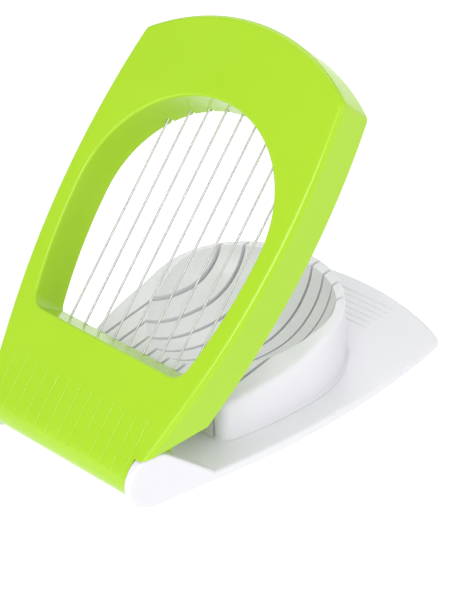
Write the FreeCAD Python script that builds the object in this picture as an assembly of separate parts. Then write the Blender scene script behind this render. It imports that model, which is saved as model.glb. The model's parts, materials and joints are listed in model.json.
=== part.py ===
import FreeCAD, Part
import math
import os

V = FreeCAD.Vector
os.makedirs("parts", exist_ok=True)

# All sizes in millimetres. Lengths along the part are measured from the hinge axis,
# widths from the middle, and the frame is described lying flat before it is swung open.

# Hinge
axis_height = 8.3
rest_angle = 47.0
ear_width = 8.8
ear_slope = 40.6
ear_edge_round = 0.9
ear_foot_sink = 0.25
swing_gap = 0.4
end_gap = 0.3
barrel_inset = 1.3
pin_radius = 1.5
pin_press_length = 7.0
pin_press_clearance = 0.01
pin_run_clearance = 0.05
pin_end_gap = 0.15
socket_depth = 2.1

# Base plate
plate_length = 120.5
plate_half_width = 42.9
plate_widest_y = 77.0
plate_thickness = 2.7
plate_side_y = 24.0
plate_side_inset = 5.6
plate_corner_inset = 2.6
plate_tip_bow = 9.9
plate_corner_round = 4.5
plate_top_round = 1.2
plate_bottom_round = 0.8
plate_notch_gap = 0.8

# Raised grip lines on the plate and on the frame
rib_radius = 0.3
rib_rise = 0.2
tip_rib_count = 6
tip_rib_pitch = 2.6
tip_rib_from_end = 6.5
tip_rib_half_length = 19.0
grip_rib_count = 13
grip_rib_pitch = 4.45
grip_rib_wrap = 22.0
grip_rib_end = 14.0

# Egg cradle, with its ramp and crown placed from the centre of its round end
cradle_front_y = 30.4
cradle_round_y = 64.0
cradle_round_radius = 33.0
cradle_taper = 5.5
cradle_corner_round = 4.0
cradle_seat_depth = 1.5
cradle_seat_gap = 0.1
cradle_floor_top = 2.9
cradle_foot_reach = 0.7
cradle_foot_thickness = 0.2
cradle_foot_round = 0.6
cradle_rim_round = 1.8
ramp_start_z = 15.0
ramp_end = (-8.0, 18.1)
crown_points = ((2.0, 20.7), (12.0, 22.6))
crown_height = 23.9
crown_overrun = 3.0
bowl_shift = 5.9
bowl_side_rim = 3.5
bowl_back_rim = 4.5
bowl_front_rim = 1.2
bowl_bottom_z = 6.2
bowl_depth = 20.0
slot_width = 1.0

# Cutting frame
closed_gap = 0.15
fold_gap = 0.05
frame_overhang = 5.7
frame_widest_y = 74.0
frame_widest_inset = 1.3
frame_side_y = 20.0
frame_side_inset = 7.1
frame_corner_inset = 4.7
frame_tip_bow = 12.3
frame_corner_round = 3.0
frame_edge_round = 1.8
face_thickness = 2.2
skirt_thickness = 2.0
hollow_front_wall = 2.5
hollow_side_wall = 1.4

# Opening of the frame, as gaps around the cradle
opening_front_gap = 2.9
opening_sill_lean = 1.7
opening_side_gap = 2.1
opening_round_gap = 2.0
opening_shift = 2.9
opening_corner_round = 5.0
opening_edge_round = 0.9

# Cutting wires and the posts that hold them
wire_count = 9
wire_pitch = 6.0
wire_radius = 0.3
wire_under_egg = 0.95
wire_gap = 0.04
notch_width = 1.0
hinge_row_setback = 9.0
tip_row_setback = 8.1
post_radius = 1.0
post_head_radius = 1.6
post_head_thickness = 0.8
ledge_end = 3.0
twist_radius = 0.5
twist_length = 3.5

# Sizes that follow from the ones above
ear_radius = axis_height
barrel_reach = axis_height - barrel_inset
slope = math.radians(ear_slope)
hinge_y = -(plate_length - ear_radius) / 2.0
plate_side = (plate_half_width - plate_side_inset, plate_side_y)
plate_widest = (plate_half_width, plate_widest_y)
plate_corner = (plate_half_width - plate_corner_inset, plate_length - plate_tip_bow)
ear_inner_x = plate_side[0] - ear_width
barrel_half = ear_inner_x - end_gap
frame_length = plate_length + frame_overhang
frame_side = (plate_half_width - frame_side_inset, frame_side_y)
frame_widest = (plate_half_width - frame_widest_inset, frame_widest_y)
frame_corner = (plate_half_width - frame_corner_inset, frame_length - frame_tip_bow)
front_height = axis_height - rib_rise - fold_gap
back_height = plate_thickness + rib_rise + closed_gap - axis_height
hollow_top = front_height - face_thickness
barrel_center = front_height - barrel_reach
seat_bottom = plate_thickness - cradle_seat_depth
cradle_front_half = cradle_round_radius - cradle_taper
foot_height = plate_thickness + cradle_foot_thickness + cradle_foot_round
bowl_half_width = cradle_round_radius - bowl_side_rim
bowl_center_y = cradle_round_y + bowl_shift
bowl_back = cradle_round_y + cradle_round_radius - bowl_back_rim - bowl_center_y
bowl_front = bowl_center_y - cradle_front_y - bowl_front_rim
opening_front_y = cradle_front_y - opening_front_gap
opening_front_half = cradle_front_half + opening_side_gap
opening_round_y = cradle_round_y + opening_shift
opening_round_radius = cradle_round_radius + opening_round_gap
hinge_row_y = opening_front_y - hinge_row_setback
tip_row_y = opening_round_y + opening_round_radius + tip_row_setback
wire_z = bowl_bottom_z - wire_under_egg - axis_height
ledge_z = wire_z + wire_radius + wire_gap
loop_radius = post_radius + wire_radius + wire_gap
loop_reach = loop_radius + wire_radius

# Working lengths: past everything, how deep joined shapes overlap, and a near match
far = 200.0
joint_depth = 0.5
match = 0.01


def lines(points):
    return [Part.makeLine(points[i], points[i + 1]) for i in range(len(points) - 1)]


def arc(a, b, c):
    return Part.Arc(a, b, c).toShape()


def face(edges):
    return Part.Face(Part.Wire(Part.__sortEdges__(edges)))


def block(x0, x1, y0, y1, z0, z1):
    return Part.makeBox(x1 - x0, y1 - y0, z1 - z0, V(x0, y0, z0))


def rod(radius, start, end):
    return Part.makeCylinder(radius, (end - start).Length, start, end - start)


def mirrored(shape):
    return shape.mirror(V(0, 0, 0), V(1, 0, 0))


def upright_edges(shape, y):
    found = []
    for edge in shape.Edges:
        a = edge.Vertexes[0].Point
        b = edge.Vertexes[-1].Point
        if math.hypot(a.x - b.x, a.y - b.y) < match and abs(a.y - y) < match:
            found.append(edge)
    return found


def level_edges(shape, z, test):
    found = []
    for edge in shape.Edges:
        middle = edge.valueAt((edge.FirstParameter + edge.LastParameter) / 2.0)
        ends = [v.Point for v in edge.Vertexes]
        if all(abs(p.z - z) < match for p in ends + [middle]) and test(middle):
            found.append(edge)
    return found


# Half width at y of the straight stretch that runs into a bowed side
def side_half(y, side, widest, corner):
    bow = arc(V(side[0], side[1], 0), V(widest[0], widest[1], 0), V(corner[0], corner[1], 0))
    center = bow.Curve.Center
    lean = -(side[1] - center.y) / (side[0] - center.x)
    return side[0] + (y - side[1]) * lean


# A barrel-sided outline: straight at the hinge, bowed sides, bowed free end
def outline_prism(start_y, side, widest, corner, tip_y, corner_round, z0, z1):
    start_half = side_half(start_y, side, widest, corner)
    right = [V(start_half, start_y, z0), V(side[0], side[1], z0)]
    left = [V(-p.x, p.y, p.z) for p in right]
    edges = lines(right) + lines(left) + lines([left[0], right[0]])
    edges.append(arc(right[1], V(widest[0], widest[1], z0), V(corner[0], corner[1], z0)))
    edges.append(arc(left[1], V(-widest[0], widest[1], z0), V(-corner[0], corner[1], z0)))
    edges.append(arc(V(-corner[0], corner[1], z0), V(0, tip_y, z0), V(corner[0], corner[1], z0)))
    prism = face(edges).extrude(V(0, 0, z1 - z0))
    return prism.makeFillet(corner_round, upright_edges(prism, corner[1]))


# An arched outline: straight edge toward the hinge, bowed sides, half-round far end
def arch_prism(front_y, front_half, round_y, radius, corner_round, z0, z1):
    narrowing = radius - front_half
    run = round_y - front_y
    bow_radius = (narrowing ** 2 + run ** 2) / (2.0 * narrowing)
    half_turn = math.asin(run / bow_radius) / 2.0
    bow_x = radius - bow_radius * (1.0 - math.cos(half_turn))
    bow_y = round_y - bow_radius * math.sin(half_turn)
    edges = lines([V(-front_half, front_y, z0), V(front_half, front_y, z0)])
    edges.append(arc(V(front_half, front_y, z0), V(bow_x, bow_y, z0), V(radius, round_y, z0)))
    edges.append(arc(V(-front_half, front_y, z0), V(-bow_x, bow_y, z0), V(-radius, round_y, z0)))
    edges.append(arc(V(-radius, round_y, z0), V(0, round_y + radius, z0), V(radius, round_y, z0)))
    prism = face(edges).extrude(V(0, 0, z1 - z0))
    return prism.makeFillet(corner_round, upright_edges(prism, front_y))


# A raised line with round ends on a flat face at height z
def rib(start_x, start_y, end_x, end_y, z):
    start = V(start_x, start_y, z + rib_rise - rib_radius)
    end = V(end_x, end_y, z + rib_rise - rib_radius)
    caps = [Part.makeSphere(rib_radius, start), Part.makeSphere(rib_radius, end)]
    return rod(rib_radius, start, end).fuse(caps)


# A raised line down the frame's front that follows the barrel part of the way round
def grip_rib(x):
    path_radius = barrel_reach + rib_rise - rib_radius
    center = V(x, 0, barrel_center)
    top = center + V(0, 0, path_radius)
    section = Part.Face(Part.Wire(Part.Circle(top, V(0, 1, 0), rib_radius).toShape()))
    bend = section.revolve(center, V(1, 0, 0), grip_rib_wrap)
    turn = math.radians(grip_rib_wrap)
    low = center + V(0, -path_radius * math.sin(turn), path_radius * math.cos(turn))
    straight = rib(x, 0.0, x, grip_rib_end, front_height)
    return straight.fuse([bend, Part.makeSphere(rib_radius, low)])


def spaced(count, pitch):
    return [(i - (count - 1) / 2.0) * pitch for i in range(count)]


def wire_places():
    return spaced(wire_count, wire_pitch)


# Side profile of an ear about the hinge axis: where its slope starts and where it meets height z
def ear_profile(radius, z):
    tangent = V(0, radius * math.sin(slope), radius * math.cos(slope))
    foot = V(0, tangent.y + (tangent.z - z) / math.tan(slope), z)
    return tangent, foot


def make_ear():
    tangent, foot = ear_profile(ear_radius, plate_thickness - ear_foot_sink - axis_height)
    straight = (plate_side, plate_widest, plate_corner)
    start_y = -2.0 * ear_radius
    flank = [V(0, start_y, 0), V(side_half(start_y, *straight), start_y, 0),
             V(side_half(foot.y, *straight), foot.y, 0), V(0, foot.y, 0), V(0, start_y, 0)]
    axis = V(ear_inner_x, 0, axis_height)
    low = V(ear_inner_x, 0, 0)
    edges = [arc(low, axis + V(0, -ear_radius, 0), axis + tangent)]
    edges += lines([axis + tangent, axis + foot, low + V(0, foot.y, 0), low])
    ear = face(edges).extrude(V(far, 0, 0))
    ear = ear.common(face(lines(flank)).extrude(V(0, 0, far)))
    outer = []
    for edge in ear.Edges:
        if min(v.X for v in edge.Vertexes) > ear_inner_x + match:
            if min(v.Y for v in edge.Vertexes) < foot.y - match:
                outer.append(edge)
    ear = ear.makeFillet(ear_edge_round, outer)
    return ear.cut(rod(pin_radius + pin_run_clearance, axis - V(match, 0, 0), axis + V(socket_depth, 0, 0)))


def make_base():
    outline = (plate_side, plate_widest, plate_corner, plate_length, plate_corner_round)
    plate = outline_prism(0.0, *outline, 0.0, plate_thickness)
    plate = plate.makeFillet(plate_top_round, level_edges(plate, plate_thickness, lambda p: p.y > match))
    plate = plate.makeFillet(plate_bottom_round, level_edges(plate, 0.0, lambda p: p.y > match))
    notch_y = barrel_reach + plate_notch_gap
    plate = plate.cut(block(-ear_inner_x, ear_inner_x, -far, notch_y, -1.0, far))
    plate = plate.cut(block(-far, far, -far, plate_thickness, -1.0, far))
    ear = make_ear()
    base = plate.fuse([ear, mirrored(ear)])
    seat = cradle_seat_gap
    pocket = arch_prism(cradle_front_y - seat, cradle_front_half + seat, cradle_round_y,
                        cradle_round_radius + seat, cradle_corner_round, seat_bottom, far)
    base = base.cut(pocket)
    ribs = []
    for i in range(tip_rib_count):
        y = plate_length - tip_rib_from_end - i * tip_rib_pitch
        ribs.append(rib(-tip_rib_half_length, y, tip_rib_half_length, y, plate_thickness))
    return base.fuse(ribs).removeSplitter()


# The cradle's upper limit seen from the side: straight ramp, then a curved crown
def cradle_profile():
    end_y = cradle_round_y + cradle_round_radius + crown_overrun
    start_y = cradle_front_y - cradle_foot_reach - crown_overrun
    front_top = V(-far, cradle_front_y, ramp_start_z)
    kink = V(-far, cradle_round_y + ramp_end[0], ramp_end[1])
    points = [kink] + [V(-far, cradle_round_y + y, z) for y, z in crown_points]
    points.append(V(-far, end_y, crown_height))
    crown = Part.BSplineCurve()
    crown.interpolate(points, InitialTangent=(kink - front_top).normalize(), FinalTangent=V(0, 1, 0))
    end_low = V(-far, end_y, 0)
    edges = lines([end_low, V(-far, start_y, 0), V(-far, start_y, ramp_start_z), front_top, kink])
    return face(edges + [crown.toShape()] + lines([points[-1], end_low]))


# One end of an egg lying along the part: a half ball stretched to the bowl's width, reach and depth
def bowl_end(direction, reach):
    stretch = FreeCAD.Matrix()
    stretch.scale(bowl_half_width, reach, bowl_depth)
    ball = Part.makeSphere(1.0, V(0, 0, 0), V(0, direction, 0), 0, 90)
    return ball.transformGeometry(stretch)


# The egg's hollow: blunt toward the free end, longer toward the hinge
def make_bowl():
    bowl = bowl_end(1.0, bowl_back).fuse(bowl_end(-1.0, bowl_front))
    bowl.translate(V(0, bowl_center_y, bowl_bottom_z + bowl_depth))
    return bowl


# The cradle's block with a thin foot that lies on the plate and curves into the walls
def cradle_block():
    block_top = crown_height + cradle_rim_round
    foot_top = plate_thickness + cradle_foot_thickness
    reach = cradle_foot_reach
    body = arch_prism(cradle_front_y, cradle_front_half, cradle_round_y, cradle_round_radius,
                      cradle_corner_round, seat_bottom, block_top)
    foot = arch_prism(cradle_front_y - reach, cradle_front_half + reach, cradle_round_y,
                      cradle_round_radius + reach, cradle_corner_round + reach, plate_thickness, foot_top)
    joined = body.fuse(foot)
    inner = level_edges(joined, foot_top, lambda p: body.isInside(p, match, True))
    return joined.makeFillet(cradle_foot_round, inner)


def make_cradle():
    body = cradle_block().common(cradle_profile().extrude(V(2.0 * far, 0, 0)))
    tops = []
    for side in body.Faces:
        middle = side.CenterOfMass
        faces_up = side.normalAt(*side.Surface.parameter(middle)).z > 0.8
        if faces_up and middle.z > foot_height:
            tops.append(side)
    rim = []
    for top in tops:
        for edge in top.Edges:
            shared = [t for t in tops if any(edge.isSame(e) for e in t.Edges)]
            if len(shared) == 1:
                rim.append(edge)
    body = body.makeFillet(cradle_rim_round, rim).cut(make_bowl())
    half = slot_width / 2.0
    slots = [block(x - half, x + half, 0, far, cradle_floor_top, far) for x in wire_places()]
    return body.cut(slots).removeSplitter()


def make_post(x, y):
    head_z = wire_z - wire_radius - wire_gap
    stem = rod(post_radius, V(x, y, ledge_z + joint_depth), V(x, y, head_z))
    return stem.fuse(rod(post_head_radius, V(x, y, head_z), V(x, y, head_z - post_head_thickness)))


# The frame's silhouette from the side: flat front and back, rounded barrel at the hinge
def frame_side_face():
    barrel_low = -math.sqrt(barrel_reach ** 2 - (back_height - barrel_center) ** 2)
    side = [V(-far, barrel_low, back_height), V(-far, far, back_height), V(-far, far, front_height),
            V(-far, 0, front_height)]
    return face(lines(side) + [arc(side[3], V(-far, -barrel_reach, barrel_center), side[0])])


# What the frame leaves free for one ear over its whole swing
def ear_room():
    clear = ear_radius + swing_gap
    tangent, foot = ear_profile(clear, back_height - 1.0)
    start = V(0, math.sqrt(clear ** 2 - front_height ** 2), front_height)
    turn = (math.atan2(start.z, start.y) + math.atan2(tangent.z, tangent.y)) / 2.0
    middle = V(0, clear * math.cos(turn), clear * math.sin(turn))
    path = [tangent, foot, V(0, -far, foot.z), V(0, -far, far), V(0, start.y, far), start]
    room = face(lines(path) + [arc(start, middle, tangent)]).extrude(V(far, 0, 0))
    room.translate(V(barrel_half, 0, 0))
    return room


# The space inside the frame's skirt, narrow between the ears and wide beyond them
def frame_hollow():
    thin = skirt_thickness
    step_y = ear_profile(ear_radius + swing_gap, back_height)[1].y + hollow_side_wall
    shrunk = ((frame_side[0] - thin, frame_side[1]), (frame_widest[0] - thin, frame_widest[1]),
              (frame_corner[0] - thin, frame_corner[1] - thin), frame_length - thin, frame_corner_round)
    wide = outline_prism(0.0, *shrunk, back_height - 1.0, hollow_top)
    wide = wide.cut(block(-far, far, -far, step_y, -far, far))
    narrow = block(thin - barrel_half, barrel_half - thin, barrel_reach + hollow_front_wall, step_y,
                   back_height - 1.0, hollow_top)
    return wide.fuse(narrow)


# The opening's edge toward the hinge leans into the opening from front to back
def opening_sill():
    front_z = front_height - opening_edge_round
    root_y = opening_front_y - joint_depth
    corners = [V(0, root_y, front_z), V(0, opening_front_y, front_z),
               V(0, opening_front_y + opening_sill_lean, back_height), V(0, root_y, back_height)]
    sill = face(lines(corners + corners[:1])).extrude(V(2.0 * opening_round_radius, 0, 0))
    sill.translate(V(-opening_round_radius, 0, 0))
    return sill


def make_frame():
    thin = skirt_thickness
    window = arch_prism(opening_front_y, opening_front_half, opening_round_y, opening_round_radius,
                        opening_corner_round, -far, far)
    window_wall = arch_prism(opening_front_y - thin, opening_front_half + thin, opening_round_y,
                             opening_round_radius + thin, opening_corner_round + thin, -far, far)
    start_y = -2.0 * ear_radius
    outline = (frame_side, frame_widest, frame_corner, frame_length, frame_corner_round)
    body = outline_prism(start_y, *outline, back_height, front_height)
    outer = level_edges(body, front_height, lambda p: p.y > start_y + match)
    body = body.makeFillet(frame_edge_round, outer).cut(window)
    inner = level_edges(body, front_height, lambda p: window_wall.isInside(p, match, True))
    body = body.makeFillet(opening_edge_round, inner)
    body = body.common(frame_side_face().extrude(V(2.0 * far, 0, 0)))
    room = ear_room()
    body = body.cut([room, mirrored(room)])
    body = body.cut(frame_hollow().cut(window_wall))
    reach = wire_places()[-1] + ledge_end
    ledges = []
    for y in (hinge_row_y, tip_row_y):
        ledges.append(block(-reach, reach, y - loop_reach, y + loop_reach, ledge_z, hollow_top + joint_depth))
    body = body.fuse(ledges + [opening_sill().common(window_wall)])
    half = notch_width / 2.0
    notches = [block(x - half, x + half, hinge_row_y, tip_row_y, -far, ledge_z) for x in wire_places()]
    body = body.cut(notches)
    details = []
    for x in wire_places():
        details += [make_post(x, hinge_row_y), make_post(x, tip_row_y)]
    for x in spaced(grip_rib_count, grip_rib_pitch):
        details.append(grip_rib(x))
    body = body.fuse(details)
    bore = rod(pin_radius + pin_press_clearance, V(barrel_half - pin_press_length, 0, 0), V(far, 0, 0))
    return body.cut([bore, mirrored(bore)]).removeSplitter()


# One wire: a loop round each post, a twisted end beside each loop, a straight run between
def make_wire(x):
    hinge_end = V(x, hinge_row_y, wire_z)
    tip_end = V(x, tip_row_y, wire_z)
    loop = V(0, loop_radius, 0)
    twist = V(0, loop_reach + wire_gap, 0)
    run = V(0, twist_length, 0)
    pieces = [Part.makeTorus(loop_radius, wire_radius, p) for p in (hinge_end, tip_end)]
    pieces.append(rod(twist_radius, hinge_end + twist, hinge_end + twist + run))
    pieces.append(rod(twist_radius, tip_end - twist - run, tip_end - twist))
    return rod(wire_radius, hinge_end + loop, tip_end - loop).fuse(pieces).removeSplitter()


def make_pin():
    end = ear_inner_x + socket_depth - pin_end_gap
    return rod(pin_radius, V(barrel_half - pin_press_length, 0, 0), V(end, 0, 0))


# Stand the base on the floor and swing the frame to its resting angle
def place_base(shape):
    shape.translate(V(0, hinge_y, 0))
    return shape


def place_frame(shape):
    shape.rotate(V(0, 0, 0), V(1, 0, 0), rest_angle)
    shape.translate(V(0, hinge_y, axis_height))
    return shape


nodes = {"base_plate": place_base(make_base())}
nodes["egg_cradle"] = place_base(make_cradle())
nodes["cutting_frame"] = place_frame(make_frame())
for number, place in enumerate(wire_places(), 1):
    nodes["cutting_wire_%d" % number] = place_frame(make_wire(place))
nodes["hinge_pin_right"] = place_frame(make_pin())
nodes["hinge_pin_left"] = place_frame(mirrored(make_pin()))

for name, shape in nodes.items():
    shape.exportStep("parts/%s.step" % name)
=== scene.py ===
import json
import math

import bpy
from mathutils import Matrix, Vector


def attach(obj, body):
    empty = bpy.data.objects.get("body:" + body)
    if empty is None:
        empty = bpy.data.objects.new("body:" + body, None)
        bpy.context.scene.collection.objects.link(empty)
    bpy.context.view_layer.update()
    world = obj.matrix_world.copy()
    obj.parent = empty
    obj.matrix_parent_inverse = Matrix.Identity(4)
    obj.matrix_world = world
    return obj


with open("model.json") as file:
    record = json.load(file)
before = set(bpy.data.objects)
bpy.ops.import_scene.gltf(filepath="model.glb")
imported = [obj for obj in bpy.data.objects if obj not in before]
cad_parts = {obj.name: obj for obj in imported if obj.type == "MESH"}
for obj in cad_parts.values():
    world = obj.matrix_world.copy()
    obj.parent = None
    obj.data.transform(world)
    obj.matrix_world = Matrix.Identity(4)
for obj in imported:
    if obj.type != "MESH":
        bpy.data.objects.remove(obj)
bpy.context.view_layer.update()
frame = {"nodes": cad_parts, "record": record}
scene = bpy.context.scene
subparts = frame["record"]["subparts"]
hinge = frame["record"]["behaviour"]["joints"][0]

# Twisted wire ends, in metres from the hinge in the closed frame: x across, y along the wires, z up
wire_count = sum(entry["material_slot"] == "wire_steel" for entry in subparts)
wire_pitch = 0.006
wire_level = -0.00305
hinge_row = 0.0185
tip_row = 0.1100
twist_start = 0.00168
twist_length = 0.0035
twist_turns = 5
twist_radius = 0.0005
tail_radius = 0.00026
ring_sides = 8
steps_per_turn = 14

# The hinge's lower limit is the closed frame, so the frame rests that far open
rest_turn = Matrix.Rotation(math.radians(-hinge["range_deg"][0]), 4, "X")
to_rest = Matrix.Translation(Vector(hinge["pos_m"])) @ rest_turn

# Unevenness of the materials, and the floor in metres
gloss_swing = 0.05
dark_share = 0.88
floor_reach = 6.0
floor_drop = 0.0001

# Camera at the photograph's place in metres, for an image of 450 by 600
camera_right = Vector((0.7148, 0.6979, -0.0443))
camera_up = Vector((-0.3477, 0.4096, 0.8434))
camera_back = Vector((0.6068, -0.5875, 0.5355))
camera_place = Vector((0.39236, -0.37517, 0.37034))

# Places the lights point at, in metres
object_middle = (0.0, 0.0, 0.04)
hinge_side = (0.0, -0.05, 0.02)


# Shader helpers
def new_material(name):
    material = bpy.data.materials.new(name)
    material.use_nodes = True
    shader = material.node_tree.nodes["Principled BSDF"]
    return material, material.node_tree, shader


def add(tree, kind, **values):
    node = tree.nodes.new(kind)
    for key, value in values.items():
        node.inputs[key].default_value = value
    return node


def noise(tree, coords, scale, detail, roughness=0.5):
    node = add(tree, "ShaderNodeTexNoise", Scale=scale, Detail=detail, Roughness=roughness)
    tree.links.new(coords, node.inputs["Vector"])
    return node.outputs["Fac"]


def ramp(tree, value, low, high, colour_low, colour_high):
    node = add(tree, "ShaderNodeValToRGB")
    node.color_ramp.elements[0].position = low
    node.color_ramp.elements[1].position = high
    node.color_ramp.elements[0].color = (*colour_low, 1.0)
    node.color_ramp.elements[1].color = (*colour_high, 1.0)
    tree.links.new(value, node.inputs["Fac"])
    return node.outputs["Color"]


def spread(tree, value, low, high):
    node = add(tree, "ShaderNodeMapRange")
    node.inputs["To Min"].default_value = low
    node.inputs["To Max"].default_value = high
    tree.links.new(value, node.inputs["Value"])
    return node.outputs["Result"]


def bump(tree, height, strength, distance, below=None):
    node = add(tree, "ShaderNodeBump", Strength=strength, Distance=distance)
    tree.links.new(height, node.inputs["Height"])
    if below is not None:
        tree.links.new(below, node.inputs["Normal"])
    return node.outputs["Normal"]


# Moulded plastic: faint flow marks in the colour, uneven gloss, fine grain over slight waves
def plastic(name, pale, deep, gloss, glow):
    material, tree, shader = new_material(name)
    coords = add(tree, "ShaderNodeTexCoord").outputs["Object"]
    flow = noise(tree, coords, scale=28.0, detail=4.0, roughness=0.55)
    tone = ramp(tree, flow, low=0.32, high=0.68, colour_low=deep, colour_high=pale)
    tree.links.new(tone, shader.inputs["Base Color"])
    uneven = noise(tree, coords, scale=240.0, detail=3.0)
    sheen = spread(tree, uneven, gloss - gloss_swing, gloss + gloss_swing)
    tree.links.new(sheen, shader.inputs["Roughness"])
    fine = noise(tree, coords, scale=2600.0, detail=2.0)
    grain = bump(tree, fine, strength=0.10, distance=0.00004)
    broad = noise(tree, coords, scale=60.0, detail=1.0)
    wave = bump(tree, broad, strength=0.05, distance=0.0006, below=grain)
    tree.links.new(wave, shader.inputs["Normal"])
    shader.inputs["IOR"].default_value = 1.49
    shader.inputs["Coat Weight"].default_value = 0.05
    shader.inputs["Coat Roughness"].default_value = 0.12
    shader.inputs["Subsurface Weight"].default_value = glow
    shader.inputs["Subsurface Radius"].default_value = (1.0, 1.0, 1.0)
    shader.inputs["Subsurface Scale"].default_value = 0.0015
    return material


# Steel: soft patches of darker tone and changing gloss, with a slight unevenness
def steel(name, tone, rough):
    material, tree, shader = new_material(name)
    coords = add(tree, "ShaderNodeTexCoord").outputs["Object"]
    patches = noise(tree, coords, scale=110.0, detail=2.0)
    dark = tuple(channel * dark_share for channel in tone)
    shade = ramp(tree, patches, low=0.3, high=0.7, colour_low=dark, colour_high=tone)
    tree.links.new(shade, shader.inputs["Base Color"])
    sheen = spread(tree, patches, rough - gloss_swing, rough + gloss_swing)
    tree.links.new(sheen, shader.inputs["Roughness"])
    fine = noise(tree, coords, scale=900.0, detail=1.0)
    tree.links.new(bump(tree, fine, strength=0.04, distance=0.00002), shader.inputs["Normal"])
    shader.inputs["Metallic"].default_value = 1.0
    return material


finish_of = {
    "green_plastic": plastic(
        "green_plastic_moulded",
        pale=(0.380, 0.640, 0.010),
        deep=(0.364, 0.622, 0.007),
        gloss=0.24,
        glow=0.10,
    ),
    "white_plastic": plastic(
        "white_plastic_moulded",
        pale=(0.748, 0.745, 0.779),
        deep=(0.730, 0.727, 0.761),
        gloss=0.36,
        glow=0.30,
    ),
    "wire_steel": steel("wire_steel_drawn", tone=(0.58, 0.573, 0.566), rough=0.42),
    "pin_steel": steel("pin_steel_turned", tone=(0.62, 0.62, 0.63), rough=0.30),
}
for entry in subparts:
    node = frame["nodes"][entry["node"]]
    for slot in node.material_slots:
        slot.material = finish_of[entry["material_slot"]]


# Twisted wire ends: the free tail winds round each wire beside its loop
def helix_points(x, start, direction):
    points = []
    steps = twist_turns * steps_per_turn
    for i in range(steps + 1):
        share = i / steps
        angle = 2.0 * math.pi * twist_turns * share
        across = x + twist_radius * math.cos(angle)
        along = start + direction * twist_length * share
        level = wire_level + twist_radius * math.sin(angle)
        points.append(Vector((across, along, level)))
    return points


def tube(points, radius, vertices, faces):
    first = len(vertices)
    for i, point in enumerate(points):
        forward = (points[min(i + 1, len(points) - 1)] - points[max(i - 1, 0)]).normalized()
        side = forward.cross(Vector((0.0, 0.0, 1.0))).normalized()
        up = side.cross(forward)
        for k in range(ring_sides):
            angle = 2.0 * math.pi * k / ring_sides
            outward = math.cos(angle) * side + math.sin(angle) * up
            vertices.append(to_rest @ (point + radius * outward))
    for i in range(len(points) - 1):
        for k in range(ring_sides):
            a = first + i * ring_sides + k
            b = first + i * ring_sides + (k + 1) % ring_sides
            faces.append((a, b, b + ring_sides, a + ring_sides))
    last = first + (len(points) - 1) * ring_sides
    faces.append(tuple(first + k for k in reversed(range(ring_sides))))
    faces.append(tuple(last + k for k in range(ring_sides)))


def wire_twists(name, row_y, direction):
    vertices = []
    faces = []
    start = row_y + direction * twist_start
    for i in range(wire_count):
        x = (i - (wire_count - 1) / 2.0) * wire_pitch
        tube(helix_points(x, start, direction), tail_radius, vertices, faces)
    mesh = bpy.data.meshes.new(name)
    mesh.from_pydata(vertices, [], faces)
    mesh.shade_smooth()
    mesh.materials.append(finish_of["wire_steel"])
    piece = bpy.data.objects.new(name, mesh)
    scene.collection.objects.link(piece)
    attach(piece, "frame")


wire_twists("wire_twists_hinge_end", hinge_row, 1.0)
wire_twists("wire_twists_tip_end", tip_row, -1.0)


# Pale floor, just below the underside
def stage_floor():
    material, tree, shader = new_material("floor_white")
    coords = add(tree, "ShaderNodeTexCoord").outputs["Object"]
    clouds = noise(tree, coords, scale=6.0, detail=2.0)
    grey = (0.20, 0.20, 0.20)
    pale_grey = (0.22, 0.22, 0.22)
    tone = ramp(tree, clouds, low=0.3, high=0.7, colour_low=grey, colour_high=pale_grey)
    tree.links.new(tone, shader.inputs["Base Color"])
    shader.inputs["Roughness"].default_value = 0.9
    shader.inputs["Emission Color"].default_value = (1.0, 1.0, 1.0, 1.0)
    shader.inputs["Emission Strength"].default_value = 0.92
    mesh = bpy.data.meshes.new("floor")
    corners = [
        (-floor_reach, -floor_reach, 0),
        (floor_reach, -floor_reach, 0),
        (floor_reach, floor_reach, 0),
        (-floor_reach, floor_reach, 0),
    ]
    mesh.from_pydata(corners, [], [(0, 1, 2, 3)])
    mesh.materials.append(material)
    floor = bpy.data.objects.new("floor", mesh)
    floor.location.z = -floor_drop
    scene.collection.objects.link(floor)


stage_floor()


# Soft lights: places and sizes in metres, power in watts
def softbox(name, place, aim, width, height, power):
    lamp = bpy.data.lights.new(name, "AREA")
    lamp.shape = "RECTANGLE"
    lamp.size = width
    lamp.size_y = height
    lamp.energy = power
    holder = bpy.data.objects.new(name, lamp)
    holder.location = place
    holder.rotation_euler = (Vector(aim) - Vector(place)).to_track_quat("-Z", "Y").to_euler()
    scene.collection.objects.link(holder)


softbox("key_light", (0.78, 0.42, 0.56), object_middle, width=0.7, height=0.7, power=1.8)
softbox("camera_light", (0.56, -0.70, 0.72), object_middle, width=0.5, height=0.5, power=4.4)
softbox("front_light", (0.0, -0.95, 0.34), hinge_side, width=0.9, height=0.4, power=2.4)
softbox("top_light", (-0.55, 0.62, 0.85), object_middle, width=0.9, height=0.9, power=3.0)

world = bpy.data.worlds.new("studio")
world.use_nodes = True
background = world.node_tree.nodes["Background"]
background.inputs["Color"].default_value = (1.0, 1.0, 1.0, 1.0)
background.inputs["Strength"].default_value = 0.66
scene.world = world
scene.view_settings.view_transform = "Standard"

# Camera
lens = bpy.data.cameras.new("camera")
lens.sensor_width = 36.0
lens.lens = 132.59
lens.clip_start = 0.01
camera = bpy.data.objects.new("camera", lens)
camera_turn = Matrix((camera_right, camera_up, camera_back)).transposed()
camera.matrix_world = Matrix.Translation(camera_place) @ camera_turn.to_4x4()
scene.collection.objects.link(camera)
scene.camera = camera
